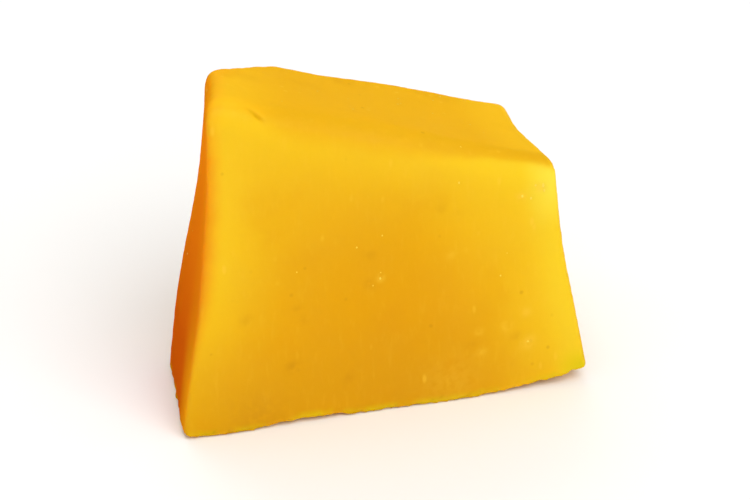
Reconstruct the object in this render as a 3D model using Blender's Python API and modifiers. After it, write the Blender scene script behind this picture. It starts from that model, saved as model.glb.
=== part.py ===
"""A chunk of ripe mango, cut from the cheek of a large fruit: one solid piece of flesh.

Its underside is the peeled outer side of the cheek, gently domed and flattened
where the chunk stands on it. Every other side is one pull of the knife.
"""

import math

import bmesh
import bpy
from mathutils import Vector, noise

MM = 0.001

# The cheek, lying on its peeled side: half lengths of the fruit along X, Y and Z
CHEEK_HALF_SIZES = Vector((76, 58, 33)) * MM
CHEEK_SEGMENTS = 128
# The lowest point of the cheek, before the soft flesh settles by SETTLED
CHEEK_LOW_X = 10.5 * MM
CHEEK_LOW_Y = 11.8 * MM
SETTLED = 0.8 * MM

# The block that the knife trims, and the point near the chunk's middle that cuts are placed from
BLOCK_SIZE = 90 * MM
HEART = Vector((17, 13, 13)) * MM

# name: (way the cut faces, from +X; how far it leans up, in degrees; distance from the heart)
KNIFE_CUTS = {
    "front": (-73.5, 5.5, 7.1 * MM),
    "left": (-172.2, 4.9, 17.4 * MM),
    "back_left": (140.0, 5.4, 13.9 * MM),
    "back": (106.0, 8.5, 12.2 * MM),
    "right": (15.5, 7.2, 17.1 * MM),
    "top": (32.6, 71.4, 12.7 * MM),
}

# How far the soft edge between two sides reaches into each; the peel's edges stay crisp
EDGE_WIDTHS = {
    ("front", "top"): 2.2 * MM,
    ("front", "left"): 0.6 * MM,
    ("front", "right"): 0.7 * MM,
    ("left", "top"): 1.8 * MM,
    ("back_left", "top"): 1.4 * MM,
    ("back_left", "left"): 1.2 * MM,
    ("back", "back_left"): 1.4 * MM,
    ("back", "top"): 1.2 * MM,
    ("back", "right"): 1.4 * MM,
    ("right", "top"): 0.6 * MM,
}
WIDEST_EDGE = max(EDGE_WIDTHS.values())
EDGE_SEGMENTS = 6
SHARP_EDGE_ANGLE = 40

# A shallow slip of the peeling knife under the front edge
SLIP_PLACE = Vector((11.5, 1.5, -0.9)) * MM
SLIP_HALF_SIZES = Vector((7.0, 4.0, 1.4)) * MM
SLIP_SEGMENTS = 24

# Where the knife swung in past a flat cut, as (place, reach, push)
KNIFE_SWINGS = {
    "left_middle": (
        Vector((1.1, 4.0, 17)) * MM,
        Vector((8, 12, 9)) * MM,
        Vector((0.9, 0, 0)) * MM,
    ),
    "left_back_corner": (
        Vector((0.7, 13.0, 30)) * MM,
        Vector((6, 5, 7.5)) * MM,
        Vector((1.1, 0, 0)) * MM,
    ),
    "right_back_corner": (
        Vector((31.0, 21.5, 21.0)) * MM,
        Vector((7, 3.8, 7)) * MM,
        Vector((-0.75, 0, 0)) * MM,
    ),
    "right_front_edge": (
        Vector((34.5, 10.5, 15.5)) * MM,
        Vector((5, 7, 6.5)) * MM,
        Vector((-0.42, 0, 0)) * MM,
    ),
}

# Flesh is never quite flat: broad swells over the sides, and the spacing of the grid that carries them
SWELL_SIZE = 13 * MM
SWELL_HEIGHT = 0.45 * MM
GRID_SPACING = 1.5 * MM
SHORTEST_EDGE = 0.05 * MM

FLESH_COLOR = (0.87, 0.40, 0.012, 1)
FLESH_ROUGHNESS = 0.38


def clear_scene():
    for old_object in list(bpy.data.objects):
        bpy.data.objects.remove(old_object, do_unlink=True)


def make_collection(name):
    collection = bpy.data.collections.new(name)
    bpy.context.scene.collection.children.link(collection)
    return collection


def make_object(name, body, collection):
    mesh = bpy.data.meshes.new(name)
    body.to_mesh(mesh)
    body.free()
    made = bpy.data.objects.new(name, mesh)
    collection.objects.link(made)
    return made


def hide_from_build(helper):
    helper.hide_render = True
    helper.display_type = "WIRE"


def make_flesh_material():
    material = bpy.data.materials.new("ripe_mango_flesh")
    material.use_nodes = True
    shader = material.node_tree.nodes["Principled BSDF"]
    shader.inputs["Base Color"].default_value = FLESH_COLOR
    shader.inputs["Roughness"].default_value = FLESH_ROUGHNESS
    shader.inputs["Metallic"].default_value = 0
    return material


def make_ellipsoid(name, center, half_sizes, segments, collection):
    body = bmesh.new()
    bmesh.ops.create_uvsphere(body, u_segments=segments, v_segments=segments, radius=1)
    bmesh.ops.scale(body, vec=half_sizes, verts=body.verts)
    bmesh.ops.translate(body, vec=center, verts=body.verts)
    ellipsoid = make_object(name, body, collection)
    hide_from_build(ellipsoid)
    return ellipsoid


def cut_normal(facing, lean):
    facing, lean = math.radians(facing), math.radians(lean)
    level = Vector((math.cos(facing), math.sin(facing), 0)) * math.cos(lean)
    return level + Vector((0, 0, math.sin(lean)))


def slice_off(body, point, normal):
    """Cuts away what lies beyond a plane and closes the cut. Returns the new face."""
    everything = body.verts[:] + body.edges[:] + body.faces[:]
    cut = bmesh.ops.bisect_plane(
        body, geom=everything, plane_co=point, plane_no=normal, clear_outer=True
    )
    rim = [item for item in cut["geom_cut"] if isinstance(item, bmesh.types.BMEdge)]
    return bmesh.ops.edgeloop_fill(body, edges=rim)["faces"]


def mark_soft_edges(body, side_layer):
    """Writes each edge's softness as a bevel weight."""
    names = [None] + list(KNIFE_CUTS)
    weights = body.edges.layers.float.new("bevel_weight_edge")
    for edge in body.edges:
        sides = [names[face[side_layer]] for face in edge.link_faces]
        if None not in sides:
            edge[weights] = EDGE_WIDTHS[tuple(sorted(sides))] / WIDEST_EDGE


def make_trimmed_block(collection):
    """A block of flesh after every cut of the knife, still without its peeled side."""
    body = bmesh.new()
    bmesh.ops.create_cube(body, size=BLOCK_SIZE)
    side_layer = body.faces.layers.int.new("side")
    for side, (facing, lean, distance) in enumerate(KNIFE_CUTS.values(), start=1):
        normal = cut_normal(facing, lean)
        for face in slice_off(body, HEART + normal * distance, normal):
            face[side_layer] = side
    bmesh.ops.recalc_face_normals(body, faces=body.faces)
    mark_soft_edges(body, side_layer)
    return make_object("trimmed_block", body, collection)


def add_boolean(target, cutter, operation):
    cut = target.modifiers.new(cutter.name, "BOOLEAN")
    cut.operation = operation
    cut.solver = "EXACT"
    cut.object = cutter


def evaluated_body(made):
    """The object's mesh after its modifiers, as a bmesh."""
    graph = bpy.context.evaluated_depsgraph_get()
    evaluated = made.evaluated_get(graph)
    body = bmesh.new()
    body.from_mesh(evaluated.to_mesh())
    evaluated.to_mesh_clear()
    return body


def grid_planes(body, axis):
    """Evenly spaced places along an axis, from one end of the body to the other."""
    reach = [vertex.co[axis] for vertex in body.verts]
    steps = math.ceil((max(reach) - min(reach)) / GRID_SPACING)
    spacing = (max(reach) - min(reach)) / steps
    return [min(reach) + spacing * step for step in range(1, steps)]


def add_grid(body):
    """Scores the sides across in all three directions, so that they can swell."""
    for axis in range(3):
        normal = Vector((0, 0, 0))
        normal[axis] = 1
        for place in grid_planes(body, axis):
            everything = body.verts[:] + body.edges[:] + body.faces[:]
            bmesh.ops.bisect_plane(body, geom=everything, plane_co=normal * place, plane_no=normal)
    bmesh.ops.remove_doubles(body, verts=body.verts, dist=SHORTEST_EDGE)
    bmesh.ops.triangulate(body, faces=body.faces)


def swell(body):
    """Pushes the sides in and out a little, straight away from the heart of the chunk."""
    for vertex in body.verts:
        outward = (vertex.co - HEART).normalized()
        vertex.co += outward * noise.noise(vertex.co / SWELL_SIZE) * SWELL_HEIGHT


def swing_knife(body):
    """Pushes the sides in or out where the knife swung, fading smoothly away from each place."""
    for place, reach, push in KNIFE_SWINGS.values():
        for vertex in body.verts:
            away = vertex.co - place
            steps = [away[axis] / reach[axis] for axis in range(3)]
            fade = math.exp(-sum(step * step for step in steps) / 2)
            vertex.co += push * fade


def settle(body):
    """Flattens the spot that the chunk stands on, and puts the origin under its middle."""
    slice_off(body, Vector((0, 0, 0)), Vector((0, 0, -1)))
    for axis in range(2):
        reach = [vertex.co[axis] for vertex in body.verts]
        middle = (min(reach) + max(reach)) / 2
        for vertex in body.verts:
            vertex.co[axis] -= middle


def make_chunk():
    parts = make_collection("mango_chunk")
    cutters = make_collection("cutters")
    cheek_center = Vector((CHEEK_LOW_X, CHEEK_LOW_Y, CHEEK_HALF_SIZES.z - SETTLED))
    cheek = make_ellipsoid("cheek", cheek_center, CHEEK_HALF_SIZES, CHEEK_SEGMENTS, cutters)
    slip = make_ellipsoid("peeler_slip", SLIP_PLACE, SLIP_HALF_SIZES, SLIP_SEGMENTS, cutters)

    block = make_trimmed_block(cutters)
    hide_from_build(block)
    soft_edges = block.modifiers.new("soft_edges", "BEVEL")
    soft_edges.limit_method = "WEIGHT"
    soft_edges.width = WIDEST_EDGE
    soft_edges.segments = EDGE_SEGMENTS
    add_boolean(block, cheek, "INTERSECT")
    add_boolean(block, slip, "DIFFERENCE")

    body = evaluated_body(block)
    add_grid(body)
    swing_knife(body)
    swell(body)
    settle(body)
    chunk = make_object("mango_chunk", body, parts)
    chunk.data.materials.append(make_flesh_material())
    chunk.data.shade_smooth()
    chunk.data.set_sharp_from_angle(angle=math.radians(SHARP_EDGE_ANGLE))


clear_scene()
make_chunk()
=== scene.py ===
# A chunk of ripe mango on a pale table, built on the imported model
import math
import random

import bmesh
import bpy
import numpy as np
from mathutils import Matrix, Vector, noise
from mathutils.kdtree import KDTree


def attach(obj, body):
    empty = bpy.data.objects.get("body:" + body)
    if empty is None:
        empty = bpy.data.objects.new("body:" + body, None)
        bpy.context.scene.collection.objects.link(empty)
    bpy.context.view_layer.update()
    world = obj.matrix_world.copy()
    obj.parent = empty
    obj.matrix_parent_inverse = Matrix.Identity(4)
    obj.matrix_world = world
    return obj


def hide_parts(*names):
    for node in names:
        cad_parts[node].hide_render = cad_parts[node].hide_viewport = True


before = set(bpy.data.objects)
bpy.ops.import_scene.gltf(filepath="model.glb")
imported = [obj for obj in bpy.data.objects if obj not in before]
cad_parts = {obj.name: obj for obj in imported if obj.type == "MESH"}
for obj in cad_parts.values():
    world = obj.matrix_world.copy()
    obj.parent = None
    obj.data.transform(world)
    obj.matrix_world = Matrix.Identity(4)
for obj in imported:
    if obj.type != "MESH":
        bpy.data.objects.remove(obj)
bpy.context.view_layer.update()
mm = 0.001


def hexToLinear(hexColour):
    # the standard sRGB curve
    channels = [int(hexColour[place:place + 2], 16) / 255 for place in (1, 3, 5)]
    linear = [c / 12.92 if c <= 0.04045 else ((c + 0.055) / 1.055) ** 2.4 for c in channels]
    return (*linear, 1)


def directionFrom(turn, height):
    # turn from the front and height above the level, both in degrees
    turn, height = math.radians(turn), math.radians(height)
    level = Vector((math.sin(turn), -math.cos(turn), 0)) * math.cos(height)
    return level + Vector((0, 0, math.sin(height)))


def addNode(tree, kind, settings=None, links=None):
    node = tree.nodes.new(kind)
    for name, value in (settings or {}).items():
        if name in node.inputs:
            node.inputs[name].default_value = value
        else:
            setattr(node, name, value)
    for name, source in (links or {}).items():
        tree.links.new(source, node.inputs[name])
    return node


# The piece of fruit. Lengths are in mm, and a pair is where a thing starts and where it is full
chunkShape = {
    "grid": 0.23,            # spacing of the fine surface
    "weld": 0.001,           # corners of the solid that are closer than this are one
    "smoothRounds": 4,       # takes out the facets of the solid, keeps the cut edges crisp
    "wave": 7.0, "waveHeight": 0.07,        # the knife never runs quite straight
    "stroke": 1.7, "strokeHeight": 0.013,   # faint ridges across the pull of the knife
    "strokeTurn": 24, "strokeLean": 60,     # the way the ridges follow each other, in degrees
    "strokeBend": 12, "strokePatch": 5,     # they bend with the wave, and come and go
    "fibre": 0.9, "fibreLength": 5.0, "fibreHeight": 0.028,  # fibres, from skin to stone
    "grain": 0.5, "grainHeight": 0.014,     # the cut cells of the flesh
    "pit": 1.5, "pitDepth": 0.14,           # the peeled side is rougher
    "peelerStroke": 6.5, "peelerHeight": 0.12, "peelerBend": 20,  # flats where the peeler ran
    "rimReach": 0.7, "rimSize": 1.1, "rimDepth": 0.16,  # and it left a ragged rim
    # the way each side faces: (turn from the front, height), in degrees
    "sides": {
        "front": (16.5, 5.5), "shadedLeft": (-82.2, 4.9), "backLeft": (-130, 5.4),
        "back": (-164, 8.5), "right": (105.5, 7.2), "top": (122.6, 71.4), "peel": (0, -90),
    },
    "sideRounds": 4,         # smooths the normals that sort the surface into sides
    "peelBorder": (0.3, -0.3),
    # painted light gathers along the cut edges: how much of the painted glow each side shows
    "glow": {
        "front": 1.0, "shadedLeft": 0, "backLeft": 0.5,
        "back": 0.6, "right": 0.38, "top": 0.1, "peel": 0.2,
    },
    "roundness": 1.6,        # how soon the glows of two edges join in the corner between
    "nearest": 0.05,         # an edge counts as no nearer than this
    "edgeRounds": 12, "glowRounds": 8,   # how far the glow is softened
    "thin": (2, 17),         # the chunk thins out between these places on X, and its painted glow reaches deeper
    # how much warm painted shade each side gets, deeper in colour on the sides turned from the
    # light
    "ripe": {
        "front": 0, "shadedLeft": 0, "backLeft": 0.65,
        "back": 0.5, "right": 0.45, "top": 0, "peel": 0,
    },
    "ripeRounds": 30, "ripeFromFront": (0.5, 4), "ripeAtStone": (0.2, -0.4),
    # the painted orange shade on the left side fades slowly towards the front edge, and higher up
    # it runs round the edge too: how far, how strongly, and between which heights
    "shadeToFront": 6.0, "bleed": (0.2, 1.5), "bleedShare": 0.7, "bleedHeight": (4, 15),
    "behind": (-6, 2),       # further back than this on Y it runs round the edge at every height,
    "bleedBehind": 5.5, "backFade": 3,       # this far,
    "unevenSize": 6.0, "unevenShare": 0.9,   # and its border wanders in and out
    "shadeTop": (25, 31), "shadeTopLoss": 0.6,   # it is weaker at the top
    "shadeRounds": 4,
    # the soft edge between top and front is painted deeper in colour, as shade. On the top it
    # starts and is full this far back, and it reaches this far down the front: (at its ends, in
    # its middle)
    "creaseBack": (2.4, 0.4), "creaseDown": (0.5, 2.1),
    "creaseFade": (1.2, 0.2),   # shares of that reach, between which it fades away
    "creaseStart": (-13, -7), "creaseEnd": (11, 0),   # places on X where it begins and narrows
    "creaseRounds": 6,
    "topBorder": (0.5, -0.5),
    # at the low end the colour of the top stops short of the front by this much
    "topShort": 0.75, "topShortAlong": (7, 14), "topShortReach": (3, 1),
    # a slit in the crease between top and front, where the knife bit twice: (x, y, z, depth)
    "nick": [
        (-12.0, -10.3, 30.9, 0), (-11.3, -10.3, 30.5, 0.06), (-10.85, -10.4, 30.2, 0.1),
        (-10.6, -10.5, 29.95, 0.14), (-10.3, -10.55, 29.7, 0.14), (-10.0, -10.6, 29.5, 0.07),
        (-9.6, -10.6, 29.35, 0),
    ],
    "nickWidth": 0.24,
    "nickMiddle": (-10.85, -10.4, 30.2), "nickReach": 6,   # nothing further off is touched
    "fineWithin": 0.7, "fineCuts": 3,   # the grid is cut finer this near to it
    # small marks on the front, pale where the strength is over 0 and dark where under. Most are
    # blemishes; the strong pale ones where beads of juice sit are painted glints: (x, z, reach,
    # strength)
    "marks": [
        (-11.7, 11.0, 0.6, -0.2), (-7.1, 11.3, 0.5, -0.2), (-6.6, 10.1, 0.5, -0.15),
        (-10.8, 1.1, 2.4, -0.3), (6.7, 2.0, 2.6, 0.15), (-7.6, 5.8, 0.6, -0.4),
        (-2.6, 3.8, 0.5, -0.3), (-0.6, 12.8, 0.5, -0.3), (-0.6, 15.6, 0.6, -0.2),
        (0.3, 13.1, 0.35, 0.6), (13.6, 7.8, 0.45, 0.4), (13.9, 4.8, 0.65, 0.5),
        (9.5, 4.6, 0.45, 0.3), (9.3, 6.6, 0.4, 0.3), (11.8, 6.8, 0.5, 0.3),
        (6.7, 14.4, 0.5, 0.2), (12.7, 5.6, 0.5, -0.2), (8.6, 5.4, 0.5, -0.2),
        (5.8, 19.0, 0.6, -0.15), (7.3, 18.2, 0.5, -0.12), (14.7, 19.7, 0.5, 0.6),
        (13.0, 19.0, 0.45, 0.5),
    ],
}


def edgeEnds(mesh):
    ends = np.empty(len(mesh.edges) * 2, np.int32)
    mesh.edges.foreach_get("vertices", ends)
    return ends.reshape(-1, 2)


def spreadOver(mesh, values, rounds):
    # averages each point's values with its neighbours', over and over
    ends = edgeEnds(mesh)
    count = len(mesh.vertices)
    neighbours = np.bincount(ends.ravel(), minlength=count)[:, None]
    values = values.astype(float).reshape(count, -1)
    for _ in range(rounds):
        total = np.zeros_like(values)
        for column in range(values.shape[1]):
            total[:, column] += np.bincount(ends[:, 0], values[ends[:, 1], column], count)
            total[:, column] += np.bincount(ends[:, 1], values[ends[:, 0], column], count)
        values = (values + total / neighbours) / 2
    return values


def softened(mesh, values, rounds):
    # the same, for one value at each point
    return spreadOver(mesh, values, rounds)[:, 0]


def vertexPlaces(mesh):
    places = np.empty(len(mesh.vertices) * 3)
    mesh.vertices.foreach_get("co", places)
    return places.reshape(-1, 3)


def vertexNormals(mesh):
    normals = np.empty(len(mesh.vertices) * 3)
    mesh.vertices.foreach_get("normal", normals)
    return normals.reshape(-1, 3)


def movePoints(mesh, places):
    mesh.vertices.foreach_set("co", places.ravel())
    mesh.update()


def distanceTo(mesh, places, inside):
    # from every point to the border of an area, in mm, and below zero inside it
    ends = edgeEnds(mesh)
    crossing = ends[inside[ends[:, 0]] != inside[ends[:, 1]]]
    border = places[crossing].mean(axis=1)
    tree = KDTree(len(border))
    for index, place in enumerate(border):
        tree.insert(place, index)
    tree.balance()
    away = np.array([tree.find(place)[2] for place in places]) / mm
    return np.where(inside, -away, away)


def storeValue(mesh, name, values):
    attribute = mesh.attributes.new(name, "FLOAT", "POINT")
    attribute.data.foreach_set("value", np.ascontiguousarray(values, np.float32))


def fineCopy(node, grid):
    # the solid's own surface again, as an even fine grid
    work = bmesh.new()
    work.from_mesh(node.data)
    bmesh.ops.remove_doubles(work, verts=work.verts, dist=chunkShape["weld"] * mm)
    mesh = bpy.data.meshes.new("mangoChunk")
    work.to_mesh(mesh)
    work.free()
    piece = bpy.data.objects.new("mangoChunk", mesh)
    bpy.context.scene.collection.objects.link(piece)
    remesh = piece.modifiers.new("fineGrid", "REMESH")
    remesh.mode = "VOXEL"
    remesh.voxel_size = grid
    graph = bpy.context.evaluated_depsgraph_get()
    fine = bpy.data.meshes.new_from_object(piece.evaluated_get(graph))
    piece.modifiers.clear()
    piece.data = fine
    return piece


def nearestSide(normals):
    # the side of the chunk that each point belongs to, by the way it faces
    facing = np.array([directionFrom(*way) for way in chunkShape["sides"].values()])
    return np.argmax(normals @ facing.T, axis=1)


def fromCreases(away, side):
    # from each point to the edges of its cut side, as one distance that rounds off the corners
    shape = chunkShape
    nearness = np.zeros(len(side))
    for index, name in enumerate(shape["sides"]):
        if name != "peel":
            other = side != index
            reach = np.maximum(away[name][other], shape["nearest"])
            nearness[other] += reach ** -shape["roundness"]
    return nearness ** (-1 / shape["roundness"])


def blendOf(ends, amount):
    return ends[0] + (ends[1] - ends[0]) * amount


def smoothStep(values, start, end):
    steps = np.clip((values - start) / (end - start), 0, 1)
    return steps * steps * (3 - 2 * steps)


def shadedLeftShare(places, away):
    # how much painted orange shade the flesh gets: on the shaded left side, and a little round its
    # edges
    shape = chunkShape
    height = places[:, 2] / mm
    upper = smoothStep(height, *shape["bleedHeight"])
    behind = smoothStep(places[:, 1] / mm, *shape["behind"])
    spots = [Vector(place) / mm / shape["unevenSize"] for place in places]
    uneven = 1 + np.array([noise.noise(spot) for spot in spots]) * shape["unevenShare"]
    reach = blendOf((blendOf(shape["bleed"], upper), shape["bleedBehind"] * uneven), behind)
    outside = blendOf((upper, 1), behind) * shape["bleedShare"]
    outside *= smoothStep(away["shadedLeft"], reach, 0)
    atFront = upper * shape["bleedShare"]
    inside = blendOf((atFront, 1), smoothStep(away["front"], 0, shape["shadeToFront"]))
    backFade = smoothStep(away["backLeft"], 0, shape["backFade"] * uneven)
    inside *= blendOf((shape["bleedShare"], 1), backFade)
    shadedLeft = np.where(away["shadedLeft"] > 0, outside, inside)
    return shadedLeft * (1 - shape["shadeTopLoss"] * smoothStep(height, *shape["shadeTop"]))


def creaseShare(along, away, short, isTop, isFront):
    # how much of the painted shade shows along the soft edge between top and front
    shape = chunkShape
    started = smoothStep(along, *shape["creaseStart"])
    middle = started * smoothStep(along, *shape["creaseEnd"])
    over = np.where(isTop, -away["front"], away["top"]) + short
    back, full = shape["creaseBack"]
    crease = smoothStep(over, -back, -full) * (isTop | isFront)
    crease *= smoothStep(over / blendOf(shape["creaseDown"], middle), *shape["creaseFade"])
    return crease * started


def reliefHeight(place, peel, rim):
    # how far a point stands in or out, in mm
    shape = chunkShape
    wave = noise.noise(place / shape["wave"]) * shape["waveHeight"]
    across = place @ directionFrom(shape["strokeTurn"], shape["strokeLean"])
    across += wave * shape["strokeBend"]
    stroke = math.sin(across * 2 * math.pi / shape["stroke"]) * shape["strokeHeight"]
    stroke *= 0.5 + noise.noise(place / shape["strokePatch"])
    along = Vector((place.x, place.y, place.z * shape["fibre"] / shape["fibreLength"]))
    fibre = noise.noise(along / shape["fibre"]) * shape["fibreHeight"]
    grain = noise.noise(place / shape["grain"]) * shape["grainHeight"]
    pits = -abs(noise.noise(place / shape["pit"])) * shape["pitDepth"]
    peeler = (place.y + wave * shape["peelerBend"]) * math.pi / shape["peelerStroke"]
    flats = -abs(math.sin(peeler)) * shape["peelerHeight"]
    torn = noise.noise(place / shape["rimSize"]) * shape["rimDepth"] * rim
    return wave + stroke + fibre + grain + (pits + flats) * peel + torn


def markShade(along, height):
    shade = np.zeros(len(along))
    for x, z, reach, strength in chunkShape["marks"]:
        shade += strength * np.exp(-((along - x) ** 2 + (height - z) ** 2) / reach ** 2)
    return shade


def alongLine(place, start, end):
    # how far along a line its nearest point to a place is, as a share, and how far off that is
    line = end - start
    share = min(max((place - start) @ line / line.length_squared, 0), 1)
    return share, (place - start - line * share).length


def nickDepth(place):
    deepest = 0
    nick = chunkShape["nick"]
    for start, end in zip(nick, nick[1:]):
        share, away = alongLine(place, Vector(start[:3]), Vector(end[:3]))
        away /= chunkShape["nickWidth"]
        depth = start[3] + share * (end[3] - start[3])
        deepest = max(deepest, depth * math.exp(-away * away))
    return deepest


def cutNick(mesh):
    # cuts the grid finer around the nick, then presses the slit in
    shape = chunkShape
    work = bmesh.new()
    work.from_mesh(mesh)
    depths = work.verts.layers.float.new("nickDepth")
    spots = [Vector(spot[:3]) * mm for spot in shape["nick"]]
    lines = list(zip(spots, spots[1:]))
    middle, reach = Vector(shape["nickMiddle"]) * mm, shape["nickReach"] * mm
    close = set()
    for vertex in work.verts:
        if (vertex.co - middle).length < reach:
            if min(alongLine(vertex.co, *line)[1] for line in lines) < shape["fineWithin"] * mm:
                close.add(vertex)
    edges = [edge for edge in work.edges if edge.verts[0] in close and edge.verts[1] in close]
    bmesh.ops.subdivide_edges(work, edges=edges, cuts=shape["fineCuts"], use_grid_fill=True)
    work.normal_update()
    for vertex in work.verts:
        if (vertex.co - middle).length < reach:
            vertex[depths] = nickDepth(vertex.co / mm)
            vertex.co -= vertex.normal * vertex[depths] * mm
    work.to_mesh(mesh)
    work.free()


def storeLooks(mesh, places, normals):
    # what the material needs to know at every point. Returns how far each is from each side
    shape = chunkShape
    names = list(shape["sides"])
    side = nearestSide(spreadOver(mesh, normals, shape["sideRounds"]))
    away = {name: distanceTo(mesh, places, side == index) for index, name in enumerate(names)}
    along, height = places[:, 0] / mm, places[:, 2] / mm
    isTop, isFront = side == names.index("top"), side == names.index("front")
    glow = np.array([shape["glow"][name] for name in names])[side]
    # painted shade: the sides turned from the light get a warmer colour
    ripe = np.array([shape["ripe"][name] for name in names])[side]
    ripe = softened(mesh, ripe, shape["ripeRounds"])
    ripe *= smoothStep(away["front"], *shape["ripeFromFront"])
    short = shape["topShort"] * smoothStep(along, *shape["topShortAlong"])
    short *= smoothStep(away["front"], *shape["topShortReach"])
    crease = creaseShare(along, away, short, isTop, isFront)
    storeValue(mesh, "fromEdge", softened(mesh, fromCreases(away, side), shape["edgeRounds"]))
    storeValue(mesh, "fromPeel", np.maximum(away["peel"], 0))
    storeValue(mesh, "fromRight", np.maximum(away["right"], 0))
    storeValue(mesh, "fromShadedLeft", np.maximum(away["shadedLeft"], 0))
    storeValue(mesh, "thin", smoothStep(along, *shape["thin"]))
    # the glow, the warm shade, the crease and the orange of the left side are painted light and
    # shade in the colour
    storeValue(mesh, "glow", softened(mesh, glow, shape["glowRounds"]))
    storeValue(mesh, "ripe", np.maximum(ripe, smoothStep(away["shadedLeft"], *shape["ripeAtStone"])))
    storeValue(mesh, "top", smoothStep(away["top"] + short, *shape["topBorder"]))
    storeValue(mesh, "crease", softened(mesh, crease, shape["creaseRounds"]))
    storeValue(mesh, "shadedLeft", softened(mesh, shadedLeftShare(places, away), shape["shadeRounds"]))
    storeValue(mesh, "peel", smoothStep(away["peel"], *shape["peelBorder"]))
    storeValue(mesh, "mark", markShade(along, height) * isFront)
    return away


def addRelief(mesh, places, normals, away):
    shape = chunkShape
    peel = smoothStep(away["peel"], *shape["peelBorder"])
    rim = np.exp(-((away["peel"] / shape["rimReach"]) ** 2))
    heights = [
        reliefHeight(Vector(place) / mm, peelShare, rimShare)
        for place, peelShare, rimShare in zip(places, peel, rim)
    ]
    places = places + normals * np.array(heights)[:, None] * mm
    places[:, 2] = np.maximum(places[:, 2], 0)   # nothing goes into the table
    movePoints(mesh, places)


def makeChunk():
    piece = fineCopy(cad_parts["mango_chunk"], chunkShape["grid"] * mm)
    mesh = piece.data
    places = spreadOver(mesh, vertexPlaces(mesh), chunkShape["smoothRounds"])
    movePoints(mesh, places)
    normals = vertexNormals(mesh)
    away = storeLooks(mesh, places, normals)
    addRelief(mesh, places, normals, away)
    cutNick(mesh)
    mesh.shade_smooth()
    print("chunk:", len(mesh.vertices), "points")
    return piece


# Ripe mango flesh, cut with a knife: moist and see-through for a few millimetres. Light and shade
# are painted into its colour: a paler yellow glow along the edges, a deeper gold in the middle of
# each side, warmer shade on the sides turned from the light, and an orange shade on the left side.
# Cut fibres show as small pale dashes, and the peeled side is mottled, with a few green-grey dots.
# Lengths are in mm, and a pair is where a thing starts and where it is full
fleshLook = {
    "glow": "#E7B91D",
    "thinGlow": "#E7C022",
    "corner": "#EBD23C",
    "gold": "#E1A912",
    "deepGold": "#D28D09",
    "ripe": "#EC970F",
    "top": "#EAAE18",
    "topGlow": "#F1BB1F",
    "crease": "#DFA717",
    "lowerShade": "#C88E10",
    "peel": "#DE9A16",
    "peelPale": "#E6AC20",
    "peelDot": "#CCA432",
    "greenRim": "#D0B80E",
    "bruise": "#A87A0C",
    "shadeOrangeHigh": "#FC8B10",
    "shadeOrangeLow": "#D65D09",
    "shadeOrangeEdge": "#E08412",
    "nick": "#D09A06",
    "fleck": "#F3C43C",
    "pore": "#B87A0C",
    "deepest": 10,               # this far from the edges, the painted shade of the gold is deepest
    "glowReach": 6.4,            # how wide the painted pale glow along an edge is,
    "thinSpread": 0.45,          # how much wider where the chunk is thin,
    "glowFromPeel": (3, 17),     # and how it grows up the side
    "palest": (2.2, 0.3),        # the painted glow is palest beside the edges of the thin end
    "cornerFromRight": (3.5, 0.3), "cornerFromPeel": (14, 19),   # its upper corner is paler yet, a painted highlight
    "topFromShadedLeft": (8, 0), "topFromRight": (7, 1), "topRightShare": 0.8,   # painted glow at the ends of the top
    "lowerReach": (11, 0), "lowerShare": 0.6, "lowerThin": (1.3, 0),   # painted shade low on the sides
    "shadeOrangeHeight": (6, 24),      # the painted orange shade lightens between these heights
    "rimReach": (0.9, 0), "greenReach": (3, 0),
    "nickDepth": (0.01, 0.15),
    "streakOnShade": (1, 0), "dotsOnShade": (1, 0.2),   # they fade where the painted orange shade lies
    "dotCore": 0.3,              # the share of a dot that has its full colour
    "skinDotShare": 0.5,
    # patches: (size, fineness, stretch up the chunk, noise where they start and are full, most)
    "patches": {
        "green": (3, 2, 1, 0.38, 0.6, 0.8),
        "bruises": (1.1, 3, 1, 0.58, 0.7, 0.7),
        "riper": (6, 3, 1, 0.5, 0.8, 0.25),
        "fibres": (0.5, 3, 4, 0.5, 0.85, 0.1),
        "fleckPlaces": (5, 2, 1, 0.5, 0.6, 0.4),
        "porePlaces": (7, 2, 1, 0.46, 0.6, 0.36),
        "brokenMarks": (0.7, 2, 1, 0.25, 0.6, 1),
        "paleSkin": (4, 3, 1, 0.3, 0.75, 1),
        "juice": (4.5, 3, 1, 0.3, 0.75, 0.12),
    },
    # dots: (spacing, radius as a share of it, stretch up the chunk)
    "dots": {"flecks": (1.5, 0.2, 2.2), "pores": (2.1, 0.13, 1), "skin": (1.7, 0.16, 1)},
    "roughness": 0.5,
    "leastJuice": 0.07, "juiceFromGlow": (0, 0.3),   # the film is left off the shaded left side
    "juiceIor": 1.37,            # a little over water
    "juiceRoughness": 0.25,
    # the cut cells, drawn coarser than life
    "cellSize": 0.4, "cellFineness": 3, "cellDepth": 0.04, "cellBump": 0.5,
    "scatter": (1.5, 1.1, 0.5),  # how far red, green and blue light travels inside
}


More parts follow.
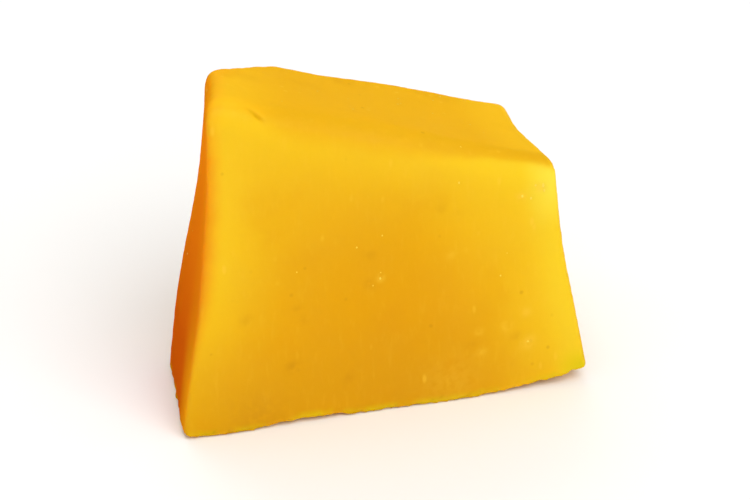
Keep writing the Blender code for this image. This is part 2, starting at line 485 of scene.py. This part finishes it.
def makeFleshMaterial():
    look = {name: hexToLinear(value) if str(value).startswith("#") else value
            for name, value in fleshLook.items()}
    material = bpy.data.materials.new("ripeMangoFlesh")
    material.use_nodes = True
    tree = material.node_tree
    shader = tree.nodes["Principled BSDF"]
    shader.subsurface_method = "BURLEY"
    spot = addNode(tree, "ShaderNodeTexCoord").outputs["Object"]
    read = {
        name: addNode(tree, "ShaderNodeAttribute", {"attribute_name": name}).outputs["Fac"]
        for name in (
            "fromEdge", "fromPeel", "fromRight", "fromShadedLeft", "thin", "glow", "ripe", "top",
            "crease", "shadedLeft", "peel", "mark", "nickDepth",
        )
    }

    def share(value, ends, most=1.0, kind="SMOOTHSTEP"):
        settings = {"From Min": ends[0], "From Max": ends[1], "To Max": most}
        settings["interpolation_type"] = kind
        return addNode(tree, "ShaderNodeMapRange", settings, {"Value": value}).outputs["Result"]

    def work(first, operation, second):
        node = addNode(tree, "ShaderNodeMath", {"operation": operation})
        for place, value in enumerate((first, second)):
            if isinstance(value, (int, float)):
                node.inputs[place].default_value = value
            else:
                tree.links.new(value, node.inputs[place])
        return node.outputs["Value"]

    def times(first, second):
        return work(first, "MULTIPLY", second)

    def blend(under, over, amount):
        settings, links = {}, {"Fac": amount}
        for name, colour in (("Color1", under), ("Color2", over)):
            if isinstance(colour, tuple):
                settings[name] = colour
            else:
                links[name] = colour
        return addNode(tree, "ShaderNodeMixRGB", settings, links).outputs["Color"]

    def scaledSpot(size, stretch):
        scale = {"Scale": (1 / size / mm, 1 / size / mm, 1 / stretch / size / mm)}
        return addNode(tree, "ShaderNodeMapping", scale, {"Vector": spot}).outputs["Vector"]

    def noiseOf(size, detail, stretch):
        settings, vector = {"Scale": 1, "Detail": detail}, {"Vector": scaledSpot(size, stretch)}
        return addNode(tree, "ShaderNodeTexNoise", settings, vector).outputs["Fac"]

    def patchesOf(name):
        size, detail, stretch, start, full, most = look["patches"][name]
        return share(noiseOf(size, detail, stretch), (start, full), most)

    def dotsOf(name):
        # soft dots, one in each cell
        spacing, radius, stretch = look["dots"][name]
        vector = {"Vector": scaledSpot(spacing, stretch)}
        cells = addNode(tree, "ShaderNodeTexVoronoi", {"Scale": 1}, vector).outputs["Distance"]
        return share(cells, (radius, radius * look["dotCore"]))

    # painted light: the middle of a side is a deeper gold as painted shade, and a pale glow is
    # painted along its edges; where the chunk is thin, the glow reaches further in
    wider = work(times(read["thin"], look["thinSpread"]), "ADD", 1)
    depth = work(read["fromEdge"], "DIVIDE", wider)
    side = blend(look["gold"], look["deepGold"], share(depth, (0, look["deepest"]), kind="LINEAR"))
    glow = times(share(depth, (look["glowReach"], 0)), read["glow"])
    grown = work(share(read["fromPeel"], look["glowFromPeel"]), "MAXIMUM", read["thin"])
    side = blend(side, look["glow"], times(glow, grown))
    palest = times(times(share(depth, look["palest"]), read["glow"]), read["thin"])
    side = blend(side, look["thinGlow"], palest)
    # painted highlight: the upper corner of the thin end is paler yet
    upperRight = share(read["fromPeel"], look["cornerFromPeel"])
    corner = times(share(read["fromRight"], look["cornerFromRight"]), upperRight)
    side = blend(side, look["corner"], times(corner, read["glow"]))
    # painted shade: warmer on the sides turned from the light
    side = blend(side, look["ripe"], read["ripe"])
    # painted glow at the ends of the top
    rightEnd = share(read["fromRight"], look["topFromRight"], look["topRightShare"])
    topGlow = work(share(read["fromShadedLeft"], look["topFromShadedLeft"]), "MAXIMUM", rightEnd)
    side = blend(side, blend(look["top"], look["topGlow"], topGlow), read["top"])
    # painted shade along the soft edge between top and front
    side = blend(side, look["crease"], read["crease"])
    # painted shade low on the sides
    lower = share(read["fromPeel"], look["lowerReach"], look["lowerShare"])
    lower = times(lower, share(read["thin"], look["lowerThin"]))
    side = blend(side, look["lowerShade"], times(lower, read["glow"]))
    # painted orange shade on the left side, deeper lower down
    upward = addNode(tree, "ShaderNodeSeparateXYZ", links={"Vector": spot}).outputs["Z"]
    levels = [level * mm for level in look["shadeOrangeHeight"]]
    shadedLeft = blend(look["shadeOrangeLow"], look["shadeOrangeHigh"], share(upward, levels, kind="LINEAR"))
    shadedLeft = blend(shadedLeft, look["shadeOrangeEdge"], read["glow"])
    side = blend(side, shadedLeft, read["shadedLeft"])

    # the rim above the peeled side: a thin line of paler, greener flesh with dark bruises in it
    rim = share(read["fromPeel"], look["rimReach"])
    thinRim = times(share(read["fromPeel"], look["greenReach"]), palest)
    green = work(times(rim, patchesOf("green")), "MAXIMUM", thinRim)
    side = blend(side, look["greenRim"], green)
    side = blend(side, look["bruise"], times(rim, patchesOf("bruises")))
    # painted shade in the slit of the nick, by its depth
    side = blend(side, look["nick"], share(read["nickDepth"], look["nickDepth"]))

    # clouds of riper flesh, faint streaks of fibre, cut fibre ends, pores, and marks: blemishes,
    # with painted glints where the beads sit
    side = blend(side, look["deepGold"], patchesOf("riper"))
    plain = share(read["shadedLeft"], look["streakOnShade"])
    side = blend(side, look["fleck"], times(patchesOf("fibres"), plain))
    plain = share(read["shadedLeft"], look["dotsOnShade"])
    flecks = times(dotsOf("flecks"), patchesOf("fleckPlaces"))
    side = blend(side, look["fleck"], times(flecks, plain))
    pores = times(dotsOf("pores"), patchesOf("porePlaces"))
    side = blend(side, look["pore"], times(pores, plain))
    # the pale marks where the beads sit are painted glints
    mark = times(read["mark"], patchesOf("brokenMarks"))
    side = blend(side, look["fleck"], share(mark, (0, 1), kind="LINEAR"))
    side = blend(side, look["pore"], share(mark, (0, -1), kind="LINEAR"))
    skinSide = blend(look["peel"], look["peelPale"], patchesOf("paleSkin"))
    skinSide = blend(skinSide, look["peelDot"], times(dotsOf("skin"), look["skinDotShare"]))
    side = blend(side, skinSide, read["peel"])
    tree.links.new(side, shader.inputs["Base Color"])

    # the juice film is all that shines: a little patchy, and left off the shaded left side
    film = work(patchesOf("juice"), "ADD", look["leastJuice"])
    film = times(film, share(read["glow"], look["juiceFromGlow"]))
    tree.links.new(film, shader.inputs["Coat Weight"])

    # cut cells, too fine for the grid: they break up the gleam of the film
    cells = {"Strength": look["cellBump"], "Distance": look["cellDepth"] * mm}
    height = {"Height": noiseOf(look["cellSize"], look["cellFineness"], 1)}
    rough = addNode(tree, "ShaderNodeBump", cells, height)
    for name in ("Normal", "Coat Normal"):
        tree.links.new(rough.outputs["Normal"], shader.inputs[name])
    shader.inputs["Coat IOR"].default_value = look["juiceIor"]
    shader.inputs["Coat Roughness"].default_value = look["juiceRoughness"]
    shader.inputs["Roughness"].default_value = look["roughness"]
    shader.inputs["Specular IOR Level"].default_value = 0
    shader.inputs["Subsurface Weight"].default_value = 1
    shader.inputs["Subsurface Radius"].default_value = look["scatter"]
    shader.inputs["Subsurface Scale"].default_value = mm
    return material


flesh = makeChunk()
flesh.data.materials.clear()
flesh.data.materials.append(makeFleshMaterial())
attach(flesh, "root")
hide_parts("mango_chunk")
print("flesh made")


# Beads of juice that stand on the cuts: round and glossy, and coloured paler than juice as a
# painted highlight, so each shows as a small spark.
# The smallest are drawn larger than life. Lengths are in mm
juiceBeads = {
    # on the front: (x, z, length, width)
    "placed": [
        (15.0, 19.9, 0.22, 0.12), (15.1, 19.4, 0.14, 0.1), (13.1, 19.1, 0.14, 0.12),
        (14.3, 20.0, 0.1, 0.1), (13.9, 18.8, 0.14, 0.1), (0.3, 13.1, 0.12, 0.1),
        (13.8, 4.9, 0.1, 0.12),
    ],
    "scattered": 46, "seed": 4, "radius": (0.04, 0.08),
    "stretch": (1, 2),       # how much longer than wide a scattered bead is
    "height": 0.25,          # of its radius, that a bead stands up
    "heart": (0, 0, 12),     # scattered beads are dropped in towards this point,
    "dropHeight": (-5, 80),  # from these heights above the level, in degrees,
    "dropFrom": 60,          # and from this far out
    "smoothness": 2,
    # paler than juice: a painted highlight
    "colour": "#F6D24E",
    "roughness": 0.12,
    "juiceIor": 1.37,
}


def addBead(body, place, normal, length, width):
    flat = min(length, width) * juiceBeads["height"]
    turn = normal.to_track_quat("Z", "Y").to_matrix().to_4x4()
    scale = Matrix.Diagonal((width * mm, length * mm, flat * mm, 1))
    matrix = Matrix.Translation(place) @ turn @ scale
    bmesh.ops.create_icosphere(
        body, subdivisions=juiceBeads["smoothness"], radius=1, matrix=matrix
    )


def makeBeads(under):
    body = bmesh.new()
    bpy.context.view_layer.update()
    far = juiceBeads["dropFrom"]
    for x, z, length, width in juiceBeads["placed"]:
        _, place, normal, _ = under.ray_cast(Vector((x, -far, z)) * mm, Vector((0, 1, 0)))
        addBead(body, place, normal, length, width)
    chance = random.Random(juiceBeads["seed"])
    heart = Vector(juiceBeads["heart"]) * mm
    for _ in range(juiceBeads["scattered"]):
        way = directionFrom(chance.uniform(-180, 180), chance.uniform(*juiceBeads["dropHeight"]))
        _, place, normal, _ = under.ray_cast(heart + way * far * mm, -way)
        radius = chance.uniform(*juiceBeads["radius"])
        addBead(body, place, normal, radius * chance.uniform(*juiceBeads["stretch"]), radius)
    mesh = bpy.data.meshes.new("juiceBeads")
    body.to_mesh(mesh)
    body.free()
    mesh.shade_smooth()
    beads = bpy.data.objects.new("juiceBeads", mesh)
    bpy.context.scene.collection.objects.link(beads)
    return beads


def makeJuiceMaterial():
    material = bpy.data.materials.new("standingJuice")
    material.use_nodes = True
    shader = material.node_tree.nodes["Principled BSDF"]
    shader.inputs["Base Color"].default_value = hexToLinear(juiceBeads["colour"])
    shader.inputs["Roughness"].default_value = juiceBeads["roughness"]
    shader.inputs["IOR"].default_value = juiceBeads["juiceIor"]
    return material


beads = makeBeads(flesh)
beads.data.materials.append(makeJuiceMaterial())
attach(beads, "root")
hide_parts("mango_chunk")
print("beads made")


# The table and the light. Lengths are in metres
studio = {
    "tableColour": "#FAFAF8",
    "tableRoughness": 0.9,           # plain matt paper, with no gleam
    "tableWidth": 3.0,
    "skyColour": "#FFFFFF",
    "skyLow": 0.35, "skyHigh": 0.75,   # a dim room with a paler ceiling
    "backdrop": 0.92,                # the pale paper that stands behind, as the camera sees it
    "lightsAim": (0, 0, 0.015),
    "lights": {
        # name: (turn from the front in degrees, height in degrees, distance, size, watts)
        "mainSoftbox": (35, 50, 1.1, 0.8, 5.6),
        "frontSoftbox": (8, 30, 1.1, 0.8, 2.6),
        "backSoftbox": (-164, 35, 1.1, 0.8, 2.8),
    },
}


def makeTable():
    bpy.ops.mesh.primitive_plane_add(size=studio["tableWidth"])
    table = bpy.context.object
    table.name = "table"
    material = bpy.data.materials.new("paleMattPaper")
    material.use_nodes = True
    shader = material.node_tree.nodes["Principled BSDF"]
    shader.inputs["Base Color"].default_value = hexToLinear(studio["tableColour"])
    shader.inputs["Roughness"].default_value = studio["tableRoughness"]
    table.data.materials.append(material)


def aimAt(thing, target):
    thing.rotation_euler = (target - thing.location).to_track_quat("-Z", "Y").to_euler()


def makeLights():
    target = Vector(studio["lightsAim"])
    for name, (turn, height, distance, size, watts) in studio["lights"].items():
        light = bpy.data.lights.new(name, "AREA")
        light.shape = "SQUARE"
        light.size = size
        light.energy = watts
        lamp = bpy.data.objects.new(name, light)
        bpy.context.scene.collection.objects.link(lamp)
        lamp.location = target + directionFrom(turn, height) * distance
        aimAt(lamp, target)


def makeSky():
    world = bpy.data.worlds.new("softSky")
    world.use_nodes = True
    tree = world.node_tree
    shader = tree.nodes["Background"]
    shader.inputs["Color"].default_value = hexToLinear(studio["skyColour"])
    way = addNode(tree, "ShaderNodeTexCoord").outputs["Generated"]
    upward = addNode(tree, "ShaderNodeSeparateXYZ", links={"Vector": way}).outputs["Z"]
    strengths = {"To Min": studio["skyLow"], "To Max": studio["skyHigh"]}
    sky = addNode(tree, "ShaderNodeMapRange", strengths, {"Value": upward}).outputs["Result"]
    seen = addNode(tree, "ShaderNodeLightPath").outputs["Is Camera Ray"]
    shown = addNode(tree, "ShaderNodeMix", {"B": studio["backdrop"]}, {"Factor": seen, "A": sky})
    tree.links.new(shown.outputs["Result"], shader.inputs["Strength"])
    bpy.context.scene.world = world


# Height above the level in degrees, distance and aim in metres, lens and nearest view as Blender
# has them
cameraPlace = {
    "height": 28, "distance": 0.3837, "aim": (-0.00017, 0, 0.0110),
    "lens": 200, "nearest": 0.01,
}


def makeCamera():
    cameraData = bpy.data.cameras.new("camera")
    cameraData.lens = cameraPlace["lens"]
    cameraData.clip_start = cameraPlace["nearest"]
    camera = bpy.data.objects.new("camera", cameraData)
    bpy.context.scene.collection.objects.link(camera)
    aim = Vector(cameraPlace["aim"])
    camera.location = aim + directionFrom(0, cameraPlace["height"]) * cameraPlace["distance"]
    aimAt(camera, aim)
    bpy.context.scene.camera = camera


makeTable()
makeLights()
makeSky()
makeCamera()
bpy.context.scene.view_settings.view_transform = "Standard"
print("stage made")
